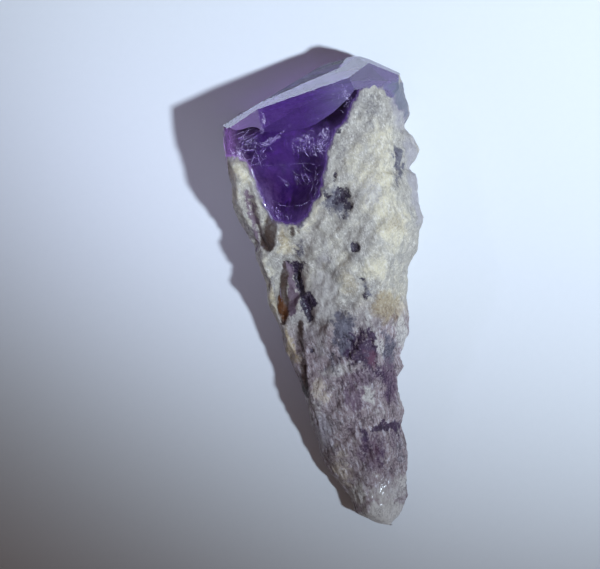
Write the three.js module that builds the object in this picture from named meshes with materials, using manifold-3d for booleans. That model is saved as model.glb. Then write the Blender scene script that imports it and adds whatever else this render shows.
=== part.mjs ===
// Amethyst point lying on its side: polished crown facets at the wide end, rough tapering root.
// Millimetres, +Z up, +Y towards the crown, resting on z = 0.
import * as THREE from 'three';
import Module from 'manifold-3d';

const wasm = await Module();
wasm.setup();

// Driving dimensions
const aroundCount = 77;       // columns round the stone
const alongCount = 62;        // rings along the stone
const crustRelief = 0.34;     // height of the crust's lumps
const wallRelief = 0.3;       // depth of the hollows in the steep sides
const windowDrop = 0.45;      // the clear window lies this far under the crust
const originShift = [0.01, 0, 0];   // puts the bounding box over the origin
const stoneColour = 0xb3acae;
const stoneRoughness = 0.55;

// Left outline seen from above, crown to tip: [y, x]
const leftEdge = [
  [48, -18.1], [35.6, -18.05], [32, -18.45], [28.7, -18.55], [25.8, -18.35], [24.5, -18.15],
  [20.3, -18.65], [18.5, -18.25], [16.1, -17.35], [14, -16.75], [12.7, -15.85], [10.5, -16.15],
  [7.8, -15.45], [5.4, -14.75], [3, -15.05], [1.4, -15.15], [-1.2, -14.45], [-4.1, -13.75],
  [-6.6, -13.55], [-9.5, -12.85], [-12.2, -12.15], [-15.8, -11.35], [-18.9, -10.85],
  [-22.5, -10.65], [-27, -9.85], [-29.5, -9.85], [-33.5, -8.25], [-35.7, -6.85], [-38.6, -5.75],
  [-41.6, -5.25], [-43.2, -3.15], [-44.5, -1.15], [-45.4, 1.75],
];

// Right outline, crown to tip: [y, x]
const rightEdge = [
  [48, 17.3], [39.9, 17.45], [37, 17.75], [33.2, 17.95], [30.7, 16.85], [28, 18.05], [25.9, 18.65],
  [24.5, 18.05], [22.7, 16.15], [21.5, 17.15], [19.4, 17.35], [15.7, 16.85], [12.9, 17.35],
  [10.2, 16.15], [6.8, 15.15], [3.3, 13.05], [0.8, 12.25], [-2.4, 11.75], [-4.6, 11.85],
  [-8.6, 11.05], [-12.6, 8.75], [-14.9, 9.05], [-16.9, 7.75], [-19.6, 7.15], [-22.7, 8.05],
  [-23.8, 7.85], [-26.3, 7.05], [-30.6, 7.25], [-34.1, 6.75], [-38.5, 6.35], [-39.9, 6.35],
  [-42.1, 4.75], [-43.7, 3.75], [-45.4, 1.75],
];

// Cross-sections: y, then the shares of the width and the heights of eleven points round the stone:
// bottom left, left wall, left shoulder, four over the top, right slope, right edge, bottom right, bottom
const sections = [
  [48, [0.08, 0, 0, 0.2, 0.45, 0.66, 0.82, 0.96, 1, 0.9, 0.5],
    [1.2, 9, 19.7, 19, 18.8, 17.2, 16, 14.6, 8, 1.4, -0.8]],
  [38, [0.08, 0, 0, 0.2, 0.45, 0.66, 0.82, 0.96, 1, 0.9, 0.5],
    [1.2, 9, 19.7, 19.1, 18.9, 17.4, 16, 14.9, 9, 1.4, -0.8]],
  [33, [0.08, 0, 0, 0.2, 0.42, 0.63, 0.8, 0.93, 1, 0.91, 0.5],
    [1.1, 9, 19.7, 19.4, 19, 17.9, 17.2, 15.3, 9, 1.5, -0.9]],
  [27, [0.08, 0, 0.01, 0.2, 0.42, 0.63, 0.8, 0.88, 1, 0.91, 0.5],
    [1, 8.5, 19.4, 19.9, 19.1, 18.9, 18.7, 16.4, 9, 1.4, -0.9]],
  [21, [0.09, 0, 0.02, 0.2, 0.42, 0.62, 0.8, 0.885, 1, 0.9, 0.5],
    [1, 8, 17.6, 18.6, 18.4, 19.5, 20, 17.2, 9, 1.2, -0.8]],
  [15, [0.1, 0, 0.025, 0.2, 0.42, 0.62, 0.8, 0.9, 1, 0.89, 0.5],
    [0.9, 7, 15.3, 17, 18.8, 20.4, 20.9, 17, 8.5, 1, -0.7]],
  [9, [0.11, 0, 0.03, 0.2, 0.42, 0.62, 0.8, 0.92, 1, 0.89, 0.5],
    [0.8, 6.5, 14.7, 15, 17.8, 19.9, 20.3, 15.4, 8, 0.9, -0.7]],
  [2, [0.12, 0, 0.03, 0.2, 0.42, 0.62, 0.8, 0.92, 1, 0.88, 0.5],
    [0.8, 6, 13.3, 12.6, 16.8, 18.8, 18.4, 14, 7.5, 0.9, -0.6]],
  [-6, [0.13, 0, 0.03, 0.2, 0.42, 0.62, 0.8, 0.93, 1, 0.87, 0.5],
    [0.7, 5.5, 11.5, 12.6, 15.8, 17, 15.6, 11.6, 7, 0.8, -0.6]],
  [-14, [0.14, 0, 0.03, 0.2, 0.42, 0.62, 0.8, 0.93, 1, 0.86, 0.5],
    [0.7, 5, 10.9, 12.4, 14.6, 15.2, 13.7, 10.4, 6.5, 0.8, -0.6]],
  [-20, [0.15, 0, 0.03, 0.21, 0.42, 0.62, 0.8, 0.93, 1, 0.85, 0.5],
    [0.7, 5.4, 12.3, 13.2, 13.7, 13.4, 12.2, 9.4, 6, 0.8, -0.5]],
  [-28, [0.16, 0, 0.05, 0.22, 0.42, 0.62, 0.8, 0.93, 1, 0.84, 0.5],
    [0.6, 4.4, 8.3, 10.3, 11.6, 11.8, 10.7, 8, 5, 0.7, -0.5]],
  [-35, [0.17, 0, 0.07, 0.24, 0.42, 0.62, 0.8, 0.93, 1, 0.83, 0.5],
    [0.6, 3.8, 7.2, 8.9, 9.8, 9.8, 8.8, 6.8, 4.4, 0.6, -0.3]],
  [-40, [0.18, 0, 0.1, 0.25, 0.42, 0.62, 0.8, 0.92, 1, 0.82, 0.5],
    [0.9, 3.6, 6.8, 8.1, 8.6, 8.4, 7.4, 5.8, 3.8, 0.9, 0.2]],
  [-43.3, [0.18, 0, 0.1, 0.25, 0.42, 0.62, 0.8, 0.92, 1, 0.82, 0.5],
    [1.4, 3.2, 5.7, 6.9, 7.4, 7.1, 6.2, 4.9, 3.2, 1.4, 0.9]],
  [-45, [0.2, 0, 0.1, 0.25, 0.42, 0.62, 0.8, 0.92, 1, 0.8, 0.5],
    [2.1, 3, 4.1, 4.9, 5.3, 5.2, 4.7, 4, 3, 2, 1.8]],
];
const tipPoint = [1.75, -45.4, 3.2];

// Clear window on the upper side, where the surface is smooth: [y, left x, right x]
const windowEdge = [
  [14.4, -9, -7.6], [15.7, -11, -5.5], [18.2, -12.2, -3.2], [20.7, -12.9, -0.9], [24, -13.6, 0.3],
  [28.3, -14.4, 1.1], [32, -17, 2.4], [36.7, -19, 5.5], [48, -19, 20],
];

// Lobes (+) and hollows (-) of the upper side: [x, y, reach across, reach along, height]
const lumps = [
  [-15.7, 26.9, 1.5, 2.3, 0.9], [-17.2, 19.8, 1.2, 4.2, 0.6], [-13.2, 19.0, 1.2, 3.4, 0.8],
  [-15.3, 20.8, 0.8, 3.2, -1.1], [-14.9, 15.2, 0.8, 2.6, -1.0], [-13.8, 11.8, 1.4, 2.2, -0.6],
  [-14.9, 4.0, 1.3, 5.4, 0.6], [-11.6, 2.2, 1.2, 4.2, -1.3], [-12.6, -1.6, 0.9, 1.4, -0.8],
  [-8.7, 6.0, 1.0, 2.4, -0.9], [-7.7, -0.6, 1.1, 2.0, -0.9], [-11.4, -8.2, 1.1, 4.0, -0.6],
  [3.0, 9.2, 0.9, 1.3, -0.6], [2.1, 18.9, 1.4, 1.8, -0.8], [-0.4, 17.6, 1.6, 1.6, -0.5],
  [13.5, 24.0, 0.9, 3.6, -1.1], [17.6, 25.6, 2.0, 1.8, 0.5], [16.4, 19.9, 1.8, 1.7, 0.4],
  [16.6, 13.2, 2.0, 2.2, 0.5], [0.2, -7.6, 3.4, 5.6, -0.6], [-7.9, -18.2, 2.6, 3.4, 0.5],
  [1.8, -19.1, 1.8, 2.8, 0.4], [3.9, -25.6, 2.6, 1.0, -0.4],
];

// Polished crown faces: outward normal and one point on the face. Where a face names a second plane,
// only what lies beyond both is cut away, so the two meet in a hollow edge.
const facets = {
  bevel: { normal: [-0.047, 0.851, 1], point: [7.29, 41.2, 16.2] },
  table: {
    normal: [0.068, 0.24, 1], point: [6.29, 40.93, 16.38],
    second: { normal: [0.24, 0.264, 1], point: [-11.16, 37.64, 18.36] },
  },
  shoulder: { normal: [0.263, 0.287, 1], point: [7.29, 41.2, 16.2] },
  leftSide: { normal: [-1, 0.02, 0.07], point: [-18.15, 31, 19.5] },
  endLeft: { normal: [-0.391, 0.92, 0.04], point: [-10.78, 38.79, 17.4] },
  endUpper: {
    normal: [-0.172, 1, 0.552], point: [3.72, 44.86, 11],
    second: { normal: [-0.748, 0.665, 0], point: [6.4, 44.3, 13.5] },
  },
  endTop: { normal: [-0.08, 1, 0], point: [7, 45.15, 12] },
  endRight: { normal: [0.515, 0.831, 0.211], point: [11.26, 43.4, 14.52] },
  endLower: { normal: [-0.2, 0.84, -0.5], point: [3.72, 44.86, 11] },
  endLowerRight: { normal: [0.62, 0.55, -0.56], point: [14.6, 41.6, 7.5] },
  endLowerLeft: { normal: [-0.62, 0.45, -0.64], point: [-17.4, 35.6, 5.5] },
};

const smooth = (a, b, v) => {
  const t = Math.min(1, Math.max(0, (v - a) / (b - a)));
  return t * t * (3 - 2 * t);
};

// value of a list of [key, ...values] at a key, straight between neighbours; keys may rise or fall
function along(list, key, column = 1) {
  const falling = list[0][0] > list[list.length - 1][0];
  for (let i = 0; i + 1 < list.length; i++) {
    const a = list[i], b = list[i + 1];
    if (falling ? key >= b[0] : key <= b[0]) {
      const t = Math.min(1, Math.max(0, (key - a[0]) / (b[0] - a[0])));
      return a[column] + (b[column] - a[column]) * t;
    }
  }
  return list[list.length - 1][column];
}

// cubic through four neighbouring values at a share t between the middle two
const cubic = (a, b, c, d, t) =>
  b + 0.5 * t * (c - a + t * (2 * a - 5 * b + 4 * c - d + t * (3 * (b - c) + d - a)));

// y and the eleven section points at a place v between the sections
function sectionAt(v) {
  const last = sections.length - 1;
  const i = Math.min(last - 1, Math.floor(v)), t = v - i;
  const pick = (k) => sections[Math.min(last, Math.max(0, k))];
  const near = [pick(i - 1), pick(i), pick(i + 1), pick(i + 2)];
  const y = cubic(...near.map((s) => s[0]), t);
  const ring = near[1][1].map((_, k) => [
    cubic(...near.map((s) => s[1][k]), t),
    cubic(...near.map((s) => s[2][k]), t),
  ]);
  return { y, ring };
}

// lumpy crust: three layers of crossed waves, each finer and lower than the one before
function lumpiness(x, y, z) {
  let sum = 0, size = 1;
  for (const [f, p] of [[0.55, 0.4], [1.15, 2.1], [2.1, 4.3]]) {
    sum += size * Math.sin(f * (x + 0.4 * z) + p) * Math.cos(f * 0.82 * y - 0.5 * f * z + 1.7 * p);
    sum += size * 0.6 * Math.sin(f * 1.31 * (y - x) + 2.3 * p + f * z);
    size *= 0.55;
  }
  return sum;
}

const apart = (p, q) => Math.hypot(p[0] - q[0], p[1] - q[1], p[2] - q[2]);

const inWindow = (x, y) => {
  if (y < windowEdge[0][0]) return 0;
  const left = along(windowEdge, y, 1), right = along(windowEdge, y, 2);
  return smooth(left - 0.2, left + 0.8, x) * (1 - smooth(right - 0.8, right + 0.2, x));
};

// closed skin: rings joined along the stone, a fan at the crown end and one at the tip
function skin() {
  const rows = [], last = sections.length - 1;
  for (let j = 0; j < alongCount; j++) {
    const { y, ring } = sectionAt((last * j) / (alongCount - 1));
    const xl = along(leftEdge, y), xr = along(rightEdge, y);
    const row = [];
    for (let i = 0; i < aroundCount; i++) {
      const w = (i / aroundCount) * ring.length, k = Math.floor(w), t = w - k;
      const at = (n) => ring[(k + n + ring.length) % ring.length];
      const u = Math.min(1, Math.max(0, cubic(at(-1)[0], at(0)[0], at(1)[0], at(2)[0], t)));
      row.push([xl + u * (xr - xl), y, cubic(at(-1)[1], at(0)[1], at(1)[1], at(2)[1], t)]);
    }
    rows.push(row);
  }
  const points = [];
  rows.forEach((row, j) => row.forEach((p, i) => {
    const a = row[(i + aroundCount - 1) % aroundCount], b = row[(i + 1) % aroundCount];
    const length = Math.hypot(b[2] - a[2], b[0] - a[0]) || 1;
    const nx = -(b[2] - a[2]) / length, nz = (b[0] - a[0]) / length;
    const [x, y, z] = p;
    const top = smooth(0.1, 0.7, nz), steep = smooth(0.35, 0.9, Math.abs(nx));
    const clear = inWindow(x, y) * top;
    let lift = crustRelief * lumpiness(x, y, z) * (1 - clear) * smooth(-45.4, -38, y);
    for (const [lx, ly, rx, ry, h] of lumps) {
      lift += h * top * Math.exp(-(((x - lx) / rx) ** 2) - ((y - ly) / ry) ** 2);
    }
    lift -= windowDrop * clear * (1 - smooth(28, 33, y));
    lift = lift * (1 - 0.8 * steep) - wallRelief * steep * Math.max(0, -lumpiness(z, y, x));
    points.push([x + lift * nx, y, z + lift * nz]);
  }));
  const faces = [], count = aroundCount;
  for (let j = 0; j + 1 < alongCount; j++) {
    for (let i = 0; i < count; i++) {
      const a = j * count + i, b = j * count + ((i + 1) % count), c = a + count, d = b + count;
      if (apart(points[b], points[c]) < apart(points[a], points[d])) faces.push([a, c, b], [b, c, d]);
      else faces.push([a, d, b], [a, c, d]);
    }
  }
  const crownMiddle = points.push([0, points[0][1], 9]) - 1;
  const tip = points.push(tipPoint) - 1;
  const end = (alongCount - 1) * count;
  for (let i = 0; i < count; i++) {
    const n = (i + 1) % count;
    faces.push([crownMiddle, i, n], [end + i, tip, end + n]);
  }
  return { points, faces };
}

const solid = ({ points, faces }) => new wasm.Manifold(new wasm.Mesh({
  numProp: 3, vertProperties: new Float32Array(points.flat()), triVerts: new Uint32Array(faces.flat()),
}));

// block of 200 mm whose one face lies in the plane, reaching away on the normal's side
function beyond(normal, point) {
  const n = new THREE.Vector3(...normal).normalize();
  const box = new THREE.BoxGeometry(200, 200, 200);
  box.applyMatrix4(new THREE.Matrix4().makeTranslation(0, 0, 100));
  box.applyQuaternion(new THREE.Quaternion().setFromUnitVectors(new THREE.Vector3(0, 0, 1), n));
  box.translate(...point);
  const p = box.getAttribute('position'), index = box.getIndex().array;
  const seen = new Map(), points = [], map = [];
  for (let i = 0; i < p.count; i++) {
    const key = [p.getX(i), p.getY(i), p.getZ(i)].map((v) => v.toFixed(4)).join();
    if (!seen.has(key)) {
      seen.set(key, points.length);
      points.push([p.getX(i), p.getY(i), p.getZ(i)]);
    }
    map.push(seen.get(key));
  }
  const faces = [];
  for (let i = 0; i < index.length; i += 3) {
    faces.push([map[index[i]], map[index[i + 1]], map[index[i + 2]]]);
  }
  return solid({ points, faces });
}

let stone = solid(skin());
for (const { normal, point, second } of Object.values(facets)) {
  const outside = beyond(normal, point);
  stone = stone.subtract(second ? outside.intersect(beyond(second.normal, second.point)) : outside);
}
stone = stone.subtract(beyond([0, 0, -1], [0, 0, 0]));

const cut = stone.getMesh();
const positions = new Float32Array(cut.numVert * 3);
for (let i = 0; i < cut.numVert; i++) {
  for (let k = 0; k < 3; k++) {
    positions[3 * i + k] = cut.vertProperties[cut.numProp * i + k] + originShift[k];
  }
}
const geometry = new THREE.BufferGeometry();
geometry.setAttribute('position', new THREE.BufferAttribute(positions, 3));
geometry.setIndex(Array.from(cut.triVerts));
geometry.computeVertexNormals();

const mesh = new THREE.Mesh(geometry, new THREE.MeshStandardMaterial({
  color: stoneColour, roughness: stoneRoughness, metalness: 0,
}));
mesh.name = 'amethyst_point';

const group = new THREE.Group();
group.name = 'amethyst_point_object';
group.add(mesh);

export default group;
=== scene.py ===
# Amethyst point lying on a pale floor: polished see-through crown, rough crusted root.
# The frame is in metres; lengths in the dictionaries are in millimetres unless a note says metres.
import math

import bmesh
import bpy
import numpy as np
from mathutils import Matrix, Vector
from mathutils.bvhtree import BVHTree


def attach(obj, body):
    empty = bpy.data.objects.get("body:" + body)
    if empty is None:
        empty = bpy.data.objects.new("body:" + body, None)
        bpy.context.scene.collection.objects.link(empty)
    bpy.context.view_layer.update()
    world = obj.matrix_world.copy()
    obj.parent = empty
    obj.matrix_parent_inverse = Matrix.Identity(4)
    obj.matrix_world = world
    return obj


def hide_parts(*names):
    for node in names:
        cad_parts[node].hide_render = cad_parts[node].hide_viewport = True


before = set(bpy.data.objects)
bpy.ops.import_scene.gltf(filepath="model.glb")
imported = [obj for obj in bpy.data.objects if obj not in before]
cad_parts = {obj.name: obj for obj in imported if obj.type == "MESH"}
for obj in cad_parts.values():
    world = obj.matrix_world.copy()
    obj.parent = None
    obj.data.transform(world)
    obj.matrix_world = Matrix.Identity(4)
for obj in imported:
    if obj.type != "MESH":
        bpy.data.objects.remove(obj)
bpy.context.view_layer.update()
mm = 0.001
tiny = 1e-9   # keeps divisions by a length safe
print("frame loaded")


def ease(low, high, value):
    # 0 below low, 1 above high, and t * t * (3 - 2 * t) between them
    t = np.clip((value - low) / (high - low), 0.0, 1.0)
    return t * t * (3 - 2 * t)


def throughFour(a, b, c, d, t):
    # cubic from b to c, whose end slopes are half the step from a to c and from b to d
    return b + 0.5 * t * (c - a + t * (2 * a - 5 * b + 4 * c - d + t * (3 * (b - c) + d - a)))


tableSize = 32
noiseTable = np.random.default_rng(23).random((tableSize, tableSize, tableSize)) * 2 - 1
noiseTurn = np.array([[0.36, 0.48, -0.8], [-0.8, 0.6, 0.0], [0.48, 0.64, 0.6]])
noiseShift = 17.3   # moves each layer of noise to another part of the table
otherShift = 40   # the same for a second noise beside the first
finer = 2.1


def cloud(points, size):
    # the table's numbers at the eight corners round each point, blended by eased shares
    place = points / size
    low = np.floor(place).astype(int)
    share = ease(0.0, 1.0, place - low)
    total = np.zeros(points.shape[:-1])
    for step in np.ndindex(2, 2, 2):
        at = (low + step) % tableSize
        weight = np.prod(np.where(step, share, 1 - share), axis=-1)
        total += weight * noiseTable[at[..., 0], at[..., 1], at[..., 2]]
    return total


def layers(points, size, count=4):
    # a sum of clouds, each turned, 2.1 times finer and half as high as the one before
    total = np.zeros(points.shape[:-1])
    height = 1.0
    for _ in range(count):
        total += height * cloud(points, size)
        points = points @ noiseTurn + noiseShift
        size /= finer
        height /= 2
    return total


def pushes(points, size):
    # two separate noises, for moving an outline or a spot about in x and in y
    return layers(points, size, 3), layers(points + otherShift, size, 3)


def nearPath(x, y, path):
    # distance to a bent line: on each straight piece the foot's share is clipped to 0..1
    best = np.full(x.shape, np.inf)
    for (ax, ay), (bx, by) in zip(path, path[1:]):
        dx = bx - ax
        dy = by - ay
        t = np.clip(((x - ax) * dx + (y - ay) * dy) / (dx * dx + dy * dy), 0, 1)
        best = np.minimum(best, np.hypot(x - ax - t * dx, y - ay - t * dy))
    return best


def insideOutline(x, y, outline):
    # distance to a closed outline, positive where a line towards +x crosses it an odd number of times
    closed = outline + outline[:1]
    distance = nearPath(x, y, closed)
    odd = np.zeros(x.shape, bool)
    for (ax, ay), (bx, by) in zip(closed, closed[1:]):
        if ay != by:
            odd ^= ((ay > y) != (by > y)) & (x < ax + (y - ay) * (bx - ax) / (by - ay))
    return np.where(odd, distance, -distance)


stone = {
    # left outline seen from above, crown to tip: y, x
    "leftEdge": [
        (48, -18.1), (35.6, -18.05), (32, -18.45), (28.7, -18.55), (25.8, -18.35), (24.5, -18.15),
        (20.3, -18.65), (18.5, -18.25), (16.1, -17.35), (14, -16.75), (12.7, -15.85), (10.5, -16.15),
        (7.8, -15.45), (5.4, -14.75), (3, -15.05), (1.4, -15.15), (-1.2, -14.45), (-4.1, -13.75),
        (-6.6, -13.55), (-9.5, -12.85), (-12.2, -12.15), (-15.8, -11.35), (-18.9, -10.85),
        (-22.5, -10.65), (-27, -9.85), (-29.5, -9.85), (-33.5, -8.25), (-35.7, -6.85),
        (-38.6, -5.75), (-41.6, -5.25), (-43.2, -3.15), (-44.5, -1.15), (-45.4, 1.75),
    ],
    "rightEdge": [
        (48, 17.3), (39.9, 17.45), (37, 17.75), (33.2, 17.95), (30.7, 16.85), (28, 18.05),
        (25.9, 18.65), (24.5, 18.05), (22.7, 16.15), (21.5, 17.15), (19.4, 17.35), (15.7, 16.85),
        (12.9, 17.35), (10.2, 16.15), (6.8, 15.15), (3.3, 13.05), (0.8, 12.25), (-2.4, 11.75),
        (-4.6, 11.85), (-8.6, 11.05), (-12.6, 8.75), (-14.9, 9.05), (-16.9, 7.75), (-19.6, 7.15),
        (-22.7, 8.05), (-23.8, 7.85), (-26.3, 7.05), (-30.6, 7.25), (-34.1, 6.75), (-38.5, 6.35),
        (-39.9, 6.35), (-42.1, 4.75), (-43.7, 3.75), (-45.4, 1.75),
    ],
    # y, then shares of the width and heights of eleven points: bottom left, left wall, left shoulder,
    # four over the top, right slope, right edge, bottom right, bottom
    "sections": [
        (48, [0.08, 0, 0, 0.2, 0.45, 0.66, 0.82, 0.96, 1, 0.9, 0.5],
         [1.2, 9, 19.7, 19, 18.8, 17.2, 16, 14.6, 8, 1.4, -0.8]),
        (38, [0.08, 0, 0, 0.2, 0.45, 0.66, 0.82, 0.96, 1, 0.9, 0.5],
         [1.2, 9, 19.7, 19.1, 18.9, 17.4, 16, 14.9, 9, 1.4, -0.8]),
        (33, [0.08, 0, 0, 0.2, 0.42, 0.63, 0.8, 0.93, 1, 0.91, 0.5],
         [1.1, 9, 19.7, 19.4, 19, 17.9, 17.2, 15.3, 9, 1.5, -0.9]),
        (27, [0.08, 0, 0.01, 0.2, 0.42, 0.63, 0.8, 0.88, 1, 0.91, 0.5],
         [1, 8.5, 19.4, 19.9, 19.1, 18.9, 18.7, 16.4, 9, 1.4, -0.9]),
        (21, [0.09, 0, 0.02, 0.2, 0.42, 0.62, 0.8, 0.885, 1, 0.9, 0.5],
         [1, 8, 17.6, 18.6, 18.4, 19.5, 20, 17.2, 9, 1.2, -0.8]),
        (15, [0.1, 0, 0.025, 0.2, 0.42, 0.62, 0.8, 0.9, 1, 0.89, 0.5],
         [0.9, 7, 15.3, 17, 18.8, 20.4, 20.9, 17, 8.5, 1, -0.7]),
        (9, [0.11, 0, 0.03, 0.2, 0.42, 0.62, 0.8, 0.92, 1, 0.89, 0.5],
         [0.8, 6.5, 14.7, 15, 17.8, 19.9, 20.3, 15.4, 8, 0.9, -0.7]),
        (2, [0.12, 0, 0.03, 0.2, 0.42, 0.62, 0.8, 0.92, 1, 0.88, 0.5],
         [0.8, 6, 13.3, 12.6, 16.8, 18.8, 18.4, 14, 7.5, 0.9, -0.6]),
        (-6, [0.13, 0, 0.03, 0.2, 0.42, 0.62, 0.8, 0.93, 1, 0.87, 0.5],
         [0.7, 5.5, 11.5, 12.6, 15.8, 17, 15.6, 11.6, 7, 0.8, -0.6]),
        (-14, [0.14, 0, 0.03, 0.2, 0.42, 0.62, 0.8, 0.93, 1, 0.86, 0.5],
         [0.7, 5, 10.9, 12.4, 14.6, 15.2, 13.7, 10.4, 6.5, 0.8, -0.6]),
        (-20, [0.15, 0, 0.03, 0.21, 0.42, 0.62, 0.8, 0.93, 1, 0.85, 0.5],
         [0.7, 5.4, 12.3, 13.2, 13.7, 13.4, 12.2, 9.4, 6, 0.8, -0.5]),
        (-28, [0.16, 0, 0.05, 0.22, 0.42, 0.62, 0.8, 0.93, 1, 0.84, 0.5],
         [0.6, 4.4, 8.3, 10.3, 11.6, 11.8, 10.7, 8, 5, 0.7, -0.5]),
        (-35, [0.17, 0, 0.07, 0.24, 0.42, 0.62, 0.8, 0.93, 1, 0.83, 0.5],
         [0.6, 3.8, 7.2, 8.9, 9.8, 9.8, 8.8, 6.8, 4.4, 0.6, -0.3]),
        (-40, [0.18, 0, 0.1, 0.25, 0.42, 0.62, 0.8, 0.92, 1, 0.82, 0.5],
         [0.9, 3.6, 6.8, 8.1, 8.6, 8.4, 7.4, 5.8, 3.8, 0.9, 0.2]),
        (-43.3, [0.18, 0, 0.1, 0.25, 0.42, 0.62, 0.8, 0.92, 1, 0.82, 0.5],
         [1.4, 3.2, 5.7, 6.9, 7.4, 7.1, 6.2, 4.9, 3.2, 1.4, 0.9]),
        (-45, [0.2, 0, 0.1, 0.25, 0.42, 0.62, 0.8, 0.92, 1, 0.8, 0.5],
         [2.1, 3, 4.1, 4.9, 5.3, 5.2, 4.7, 4, 3, 2, 1.8]),
    ],
    "tip": (1.75, -45.4, 3.2),   # x, y, z
    "tipStart": -43.3,   # y from which the tip closes
    "tipRings": 16,
    "columns": [26, 34, 24, 26, 26, 24, 24, 34, 26, 6, 6],  # grid columns after each ring point
    "rings": 340,
    "firstRing": 46.5,   # y
    "shift": (0.01, 0, 0),   # puts the box over the origin, as in the CAD
    "crustRelief": 0.34,
    "wallRelief": 0.3,
    "windowDrop": 0.25,
    "wetRelief": 0.11,   # glossy folds of the tip
    "pitDepth": 0.4,
    "knobs": (2.3, 0.3),   # size and height
    "grain": (0.9, 0.07),
    "wallFolds": (3.4, 0.5),
    "windowWaves": (3.5, 0.03),
    "streaks": (0.2, 0.09),   # heights on the root and on the smooth crust
    "depthReach": 4,   # the fields tell how deep inside an outline a point is, up to this
    # where these begin and are full: x or y
    "fullRelief": -38,   # y, rising from nothing at the tip
    "rootFrom": (2, -12),
    "foldsFrom": (-30, -36),
    "crownFrom": (28, 33),
    "slabAcross": (-2, 5),   # the smoother crust right of the window
    "slabAlong": (0, 6),
    # lobes (+) and hollows (-): x, y, reach across, reach along, height
    "lumps": [
        (-15.9, 26.9, 1.5, 2, 1.1), (-17.3, 22.2, 1.1, 1.8, 0.7), (-17, 18, 1.1, 1.8, 0.7),
        (-13.5, 19.2, 1.2, 2.6, 1), (-15.4, 24.4, 1.2, 0.6, -0.6), (-13, 15.2, 1.2, 1.4, 0.6),
        (-15.3, 20.8, 0.7, 3.2, -1), (-14.9, 15.2, 0.7, 2.4, -1), (-13.8, 11.8, 1.2, 1.8, -0.6),
        (-14.9, 4, 1.3, 5.4, 0.6), (-11.2, 2.6, 1.6, 4.2, -1.2), (-12.6, -1.6, 0.9, 1.4, -0.8),
        (-8.7, 6, 1, 2.4, -0.9), (-7.7, -0.6, 1.1, 2, -0.9), (-11.4, -8.2, 1.1, 4, -0.6),
        (-13.9, 4.6, 0.9, 4.6, 0.5), (3, 9.2, 0.9, 1.3, -0.2), (-1.6, -38.6, 1.9, 4, 0.55),
        (2.1, 18.9, 1.4, 1.8, -0.8), (-0.4, 17.6, 1.6, 1.6, -0.5),
        (13.5, 24, 0.9, 3.6, -1.1), (17.6, 25.6, 2, 1.8, 0.5), (16.4, 19.9, 1.8, 1.7, 0.4),
        (16.6, 13.2, 2, 2.2, 0.5), (0.2, -7.6, 3.4, 5.6, -0.6), (-7.9, -18.2, 2.6, 3.4, 0.5),
        (1.8, -19.1, 1.8, 2.8, 0.4), (3.9, -25.6, 2.6, 1, -0.4),
    ],
    # grooves (-) and ridges (+) along bent lines: line, half width, height
    "creases": [
        ([(-15.2, 23.8), (-15.5, 21.1), (-15.2, 18.2), (-14.7, 14.9), (-14.8, 13.4)], 0.7, -0.5),
        ([(-15.3, 14.6), (-13.8, 11.8), (-12.3, 9.3)], 0.7, -0.4),
        ([(-11.2, 5.2), (-11.8, 1.5), (-12.4, -0.7), (-13.2, -2.5)], 0.9, -0.4),
        ([(-10.5, 8.6), (-8.8, 6.8), (-8.4, 3.8), (-8.1, 1.8), (-7.4, -1.2), (-7.7, -3)], 0.6, -0.5),
        ([(13.6, 26.3), (13.3, 23.4), (13.2, 20.6)], 0.5, -0.5),
        ([(-10.3, -3.6), (-10.3, -8.4), (-10.7, -14.1), (-10.9, -18)], 0.8, -0.45),
        ([(-1.5, -7.3), (-0.2, -9.1), (0.8, -12.4)], 0.4, -0.35),
        ([(3.1, -8.7), (3.4, -12.6)], 0.4, -0.35),
        ([(15.9, 22.8), (14.6, 22.4)], 0.5, -0.5),
        ([(16.9, 16.6), (15.2, 16.9)], 0.5, -0.5),
        ([(12.5, 38.5), (14, 33.5), (14.2, 25.8), (12.7, 21.3), (13, 15.6), (13.5, 11.7)], 1.3, 0.25),
        ([(-15.3, 10.7), (-15.2, 6.8), (-14.5, 1.9), (-14.1, -2)], 0.8, 0.3),
        ([(-14, 27.6), (-6.6, 26.4), (-0.1, 25.3)], 0.5, 0.2),
    ],
    # polished faces: how hazy each is, then its outward normal and one point;
    # with two planes, only what lies beyond both is cut
    "facets": [
        (0, [((-0.047, 0.851, 1), (7.29, 41.2, 16.2))]),
        (0.36, [((0.068, 0.24, 1), (6.29, 40.93, 16.38)), ((0.24, 0.264, 1), (-11.16, 37.64, 18.36))]),
        (0.28, [((0.263, 0.287, 1), (7.29, 41.2, 16.2))]),
        # the left side face: veiled almost whole, partly haze and partly painted light standing in for light
        # led through the crystal
        (0.9, [((-1, 0.02, 0.07), (-18.15, 31, 19.5))]),
        (0, [((-0.391, 0.92, 0.04), (-10.78, 38.79, 17.4))]),
        (0.1, [((-0.172, 1, 0.552), (3.72, 44.86, 11)), ((-0.748, 0.665, 0), (6.4, 44.3, 13.5))]),
        (0, [((-0.08, 1, 0), (7, 45.15, 12))]),
        (0.3, [((0.515, 0.831, 0.211), (11.26, 43.4, 14.52))]),
        (0, [((-0.2, 0.84, -0.5), (3.72, 44.86, 11))]),
        (0, [((0.62, 0.55, -0.56), (14.6, 41.6, 7.5))]),
        (0, [((-0.62, 0.45, -0.64), (-17.4, 35.6, 5.5))]),
    ],
    # seen from above, the cuts are polished only inside this outline: x, y
    "polished": [
        (-20, 28.6), (-17.2, 29.4), (-10.8, 32.6), (-5.5, 32.8), (0.3, 33.6), (5.5, 36), (8.1, 38.6),
        (13, 38.2), (15.2, 34.3), (17.2, 30.4), (20, 30.4), (20, 52), (-20, 52),
    ],
    # outline of the see-through part of the upper side: x, y
    "window": [
        (-19.5, 48), (-19.5, 29.8), (-17.6, 29.5), (-16.2, 29.3), (-14.9, 28.4), (-14, 26.5),
        (-13.3, 22.7), (-12.9, 20.7), (-12.3, 18.7), (-11.4, 16.8), (-9.8, 15.5), (-8.4, 15.3),
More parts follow.
